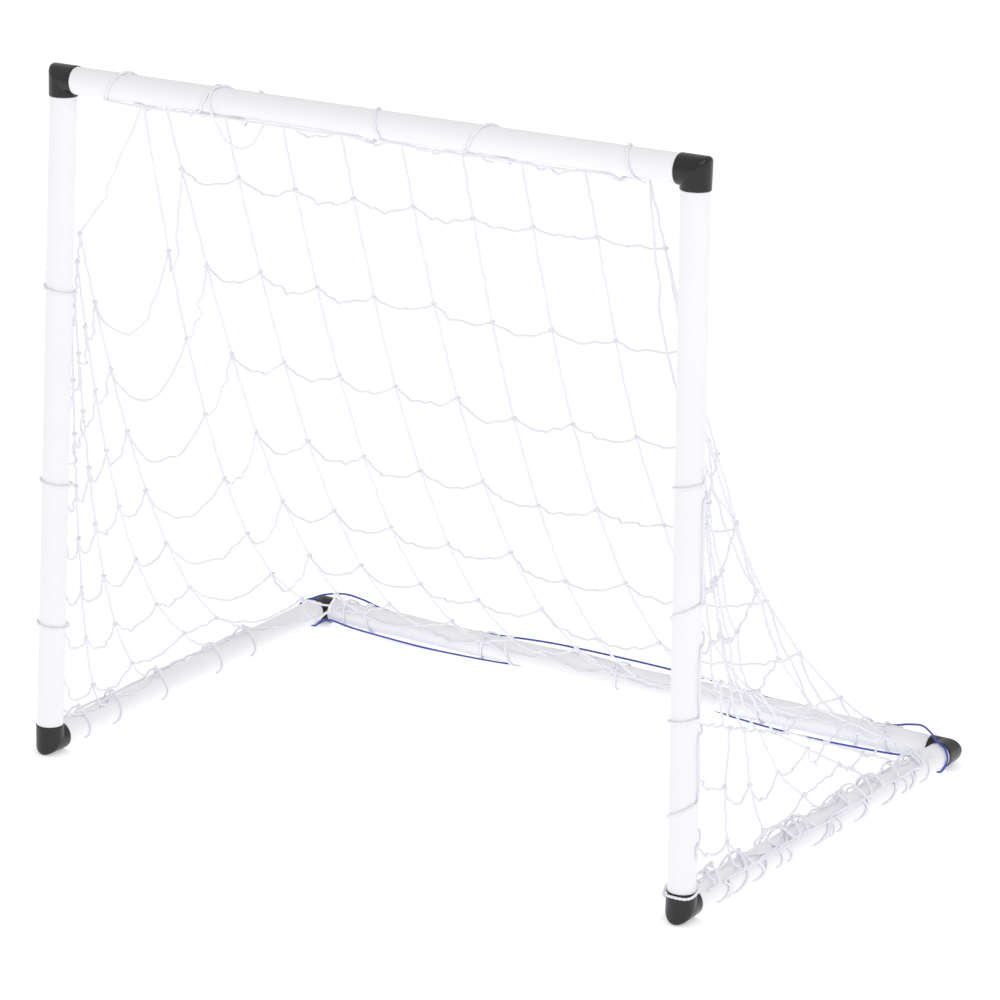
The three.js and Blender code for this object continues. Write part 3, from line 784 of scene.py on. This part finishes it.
# Slack bights beside the turns: shares of the tube's length, angles and radii.
# The crossbar has one, which hangs below it.
loose_bights = {"crossbar_lacing": [np.array([
    (0.262, 150, snug_radius), (0.264, 200, snug_radius), (0.266, 280, snug_radius), (0.272, 335, 0.023),
    (0.284, 356, 0.040), (0.300, 365, 0.046), (0.318, 368, 0.040), (0.329, 378, 0.026), (0.331, 420, 0.019),
    (0.330, 480, snug_radius), (0.329, 520, snug_radius),
])]}
# Each lacing's tube, the directions of 0 and of 90 degrees round it, the angles of the cord's run and of the
# net, whether it is pressed, and its cords' turns: share of the tube's length, slant and lift at the net.
lacing_plans = {
    "crossbar_lacing": ("crossbar", -up, back, 330, 37, False, [
        [(0.115, -0.045, 0.003), (0.277, -0.05, 0.004), (0.52, 0.03, 0.001), (0.70, -0.045, 0.002),
         (0.90, 0.03, 0.002)]]),
    "left_post_lacing": ("left_post", -back, -right, 90, 180, False, [
        [(0.18, 0.012, 0), (0.40, 0.014, 0.001), (0.69, 0.016, 0)]]),
    "right_post_lacing": ("right_post", -back, right, 90, 180, False, [
        [(0.122, 0.05, 0.001), (0.26, 0.02, 0), (0.40, 0.048, 0), (0.58, 0.02, 0.001)]]),
    "left_base_lacing": ("left_base_tube", -up, -right, 130, 180, True, [
        [(0.10, 0.016, 0), (0.20, -0.010, 0), (0.37, 0.018, 0.001), (0.57, 0.014, 0), (0.70, 0.02, 0)]]),
    "right_base_lacing": ("right_base_tube", -up, right, 130, 180, True, [
        [(0.10, 0.03, 0), (0.22, 0.042, 0.001), (0.33, -0.03, 0), (0.45, 0.05, 0), (0.60, 0.04, 0.001),
         (0.72, 0.03, 0), (0.83, -0.02, 0)],
        [(0.16, -0.05, 0.002), (0.38, -0.055, 0.002), (0.53, -0.04, 0.001), (0.66, -0.045, 0.002),
         (0.79, 0.04, 0.002), (0.87, 0.014, 0)],
        [(0.14, 0.06, 0.003), (0.29, -0.07, 0.004), (0.43, 0.065, 0.003), (0.57, -0.06, 0.004),
         (0.70, 0.06, 0.003), (0.82, -0.045, 0.002)]]),
    "rear_lacing": ("rear_base_tube", -up, -back, 235, 142.5, True, [
        [(0.056, 0.012, 0), (0.10, -0.014, 0), (0.288, 0.02, 0), (0.335, -0.016, 0.001), (0.505, 0.014, 0),
         (0.68, 0.02, 0), (0.727, -0.016, 0), (0.87, 0.018, 0), (0.915, -0.012, 0.001)]]),
}
for node, (tube, below, side, run_angle, net_angle, pressed, cords) in lacing_plans.items():
    along, start, end = tube_ways[tube]
    length = (np.array(end) - start) @ along
    wound = [[(share * length, slant, lift) for share, slant, lift in turns] for turns in cords]
    stations = [wound_stations(turns, run_angle, net_angle) for turns in wound]
    stations += [bight * [length, 1, 1] for bight in loose_bights.get(node, [])]
    ring_count = rings_per_turn * max(map(len, cords))
    cord_mesh = wound_cord(node, start, along, below, side, stations, ring_count, pressed)
    radians = np.radians(net_angle)
    outwards = np.cos(radians) * below + np.sin(radians) * side
    reached = (net_angle - run_angle) % 360 / 360 - 0.5
    tied = [np.array(start) + along * (distance + slant * reached) + outwards * (net_side_radius + lift)
            for turns in wound for distance, slant, lift in turns[::2]]
    link_twine(node + "_cord", cord_mesh, np.array(tied), lacing_knot_size, node)

# ---------------------------------------------------------------- tie
# A spare end of the twine tied once round the foot of the right post, on
# the top of its connector.

tie_angle = np.linspace(0, 2 * np.pi, 24, endpoint=False)
behind = np.maximum(np.sin(tie_angle), 0) ** 2
tie_radius = body_radius + 0.0017 + 0.0062 * behind
tie_height = base_z + leg_length + 0.001 + 0.004 * np.sin(tie_angle) + 0.0012 * np.sin(3 * tie_angle)
tie_x = post_x + tie_radius * np.cos(tie_angle)
tie_y = front_y + tie_radius * np.sin(tie_angle)
tie_path = np.stack([tie_x, tie_y, tie_height], -1)
tie_curve = smooth(tie_path[None], 10, closed=True)
tie_rings = cord_rings(tie_curve, twine_radius, twine_sides, twine_pitch, closed=True)
tie_mesh = mesh_from_rings("tie", tie_rings, closed=True, length_unit=twine_pitch)
tie_knot_place = tie_path[15:16] - [0, 0.0015, 0]    # at the front left
link_twine("right_post_tie_cord", tie_mesh, tie_knot_place, lacing_knot_size, "right_post_tie")

# ---------------------------------------------------------------- elastic
# One closed loop of braided navy elastic stretched along the rear tube, that
# goes over and under the side tube at each end.

elastic_radius = 0.0012
over_lacing = tube_radius + 0.0078
over_tube = tube_radius + 0.0022
heel = -leg_length - 0.010
# The right end's route, from the rear corner: inwards, back and up.
elastic_end = np.array([
    (0.300, 0.70 * over_lacing, 0.72 * over_lacing), (0.200, 0.86 * over_lacing, 0.34 * over_lacing),
    (0.090, 0.89 * over_lacing, 0.30 * over_lacing), (0.050, 0.63 * over_lacing, 0.75 * over_lacing),
    (0.030, 0.004, over_lacing), (0.012, -0.012, over_lacing), (0, heel + 0.006, over_tube + 0.001),
    (-0.68 * over_tube, heel + 0.003, 0.75 * over_tube), (-over_tube, heel, 0.002),
    (-0.74 * over_tube, heel, -0.62 * over_tube),
    (-0.0065, heel, 0.0005 - base_z), (0.0065, heel, 0.0005 - base_z),
    (0.78 * over_lacing, heel + 0.004, -0.50 * over_tube),
    (1.15 * over_lacing, heel + 0.010, -0.40 * over_tube),
    (0.064, -0.80 * over_lacing, -0.48 * over_lacing), (0.150, -0.0165, 0.0012 - base_z),
    (0.230, -0.0080, 0.0005 - base_z), (0.300, 0.0080, 0.0005 - base_z),
])
elastic_right = np.array([post_x, rear_y, base_z]) + elastic_end * [-1, 1, 1]
elastic_left = elastic_right[::-1] * [-1, 1, 1]
elastic_path = smooth(np.concatenate([elastic_right, elastic_left])[None], 40, closed=True)
elastic_rings = cord_rings(elastic_path, elastic_radius, 12, 0.006, plies=4, groove=0.05, closed=True)
axis_offset = elastic_rings[..., 1:] - [rear_y, base_z]
beside_rear_tube = np.abs(elastic_rings[..., :1]) < post_x - leg_length
from_axis = np.linalg.norm(axis_offset, axis=-1, keepdims=True)
clear = np.where(beside_rear_tube, np.maximum((tube_radius + cord_off_tube) / from_axis, 1), 1)
elastic_rings[..., 1:] = [rear_y, base_z] + axis_offset * clear
elastic_rings[..., 2] = np.maximum(elastic_rings[..., 2], cord_off_ground)
elastic_mesh = mesh_from_rings("rear_elastic_cord", elastic_rings, closed=True, length_unit=0.004)

# Braided elastic: navy polyester over rubber, with the lighter thread of
# the braid crossing it.
elastic_braid, tree, shader = surface_material(
    "braided navy elastic", Roughness=0.6, Specular_IOR_Level=0.35, Sheen_Weight=0.2)
along_braid = add_node(tree, "ShaderNodeTexCoord").outputs["UV"]
braid_map = add_node(tree, "ShaderNodeMapping", Vector=along_braid, Scale=(4.0, 4.0, 1.0))
braid = add_node(tree, "ShaderNodeTexChecker", Vector=braid_map.outputs["Vector"], Scale=1.0,
                 Color1=linear("#26359A"), Color2=linear("#5563C4"))
tree.links.new(braid.outputs["Color"], shader.inputs["Base Color"])
bump = add_node(tree, "ShaderNodeBump", Height=braid.outputs["Fac"], Strength=0.4, Distance=0.0002)
tree.links.new(bump.outputs["Normal"], shader.inputs["Normal"])
link_piece("rear_elastic_cord", elastic_mesh, elastic_braid, "rear_elastic")
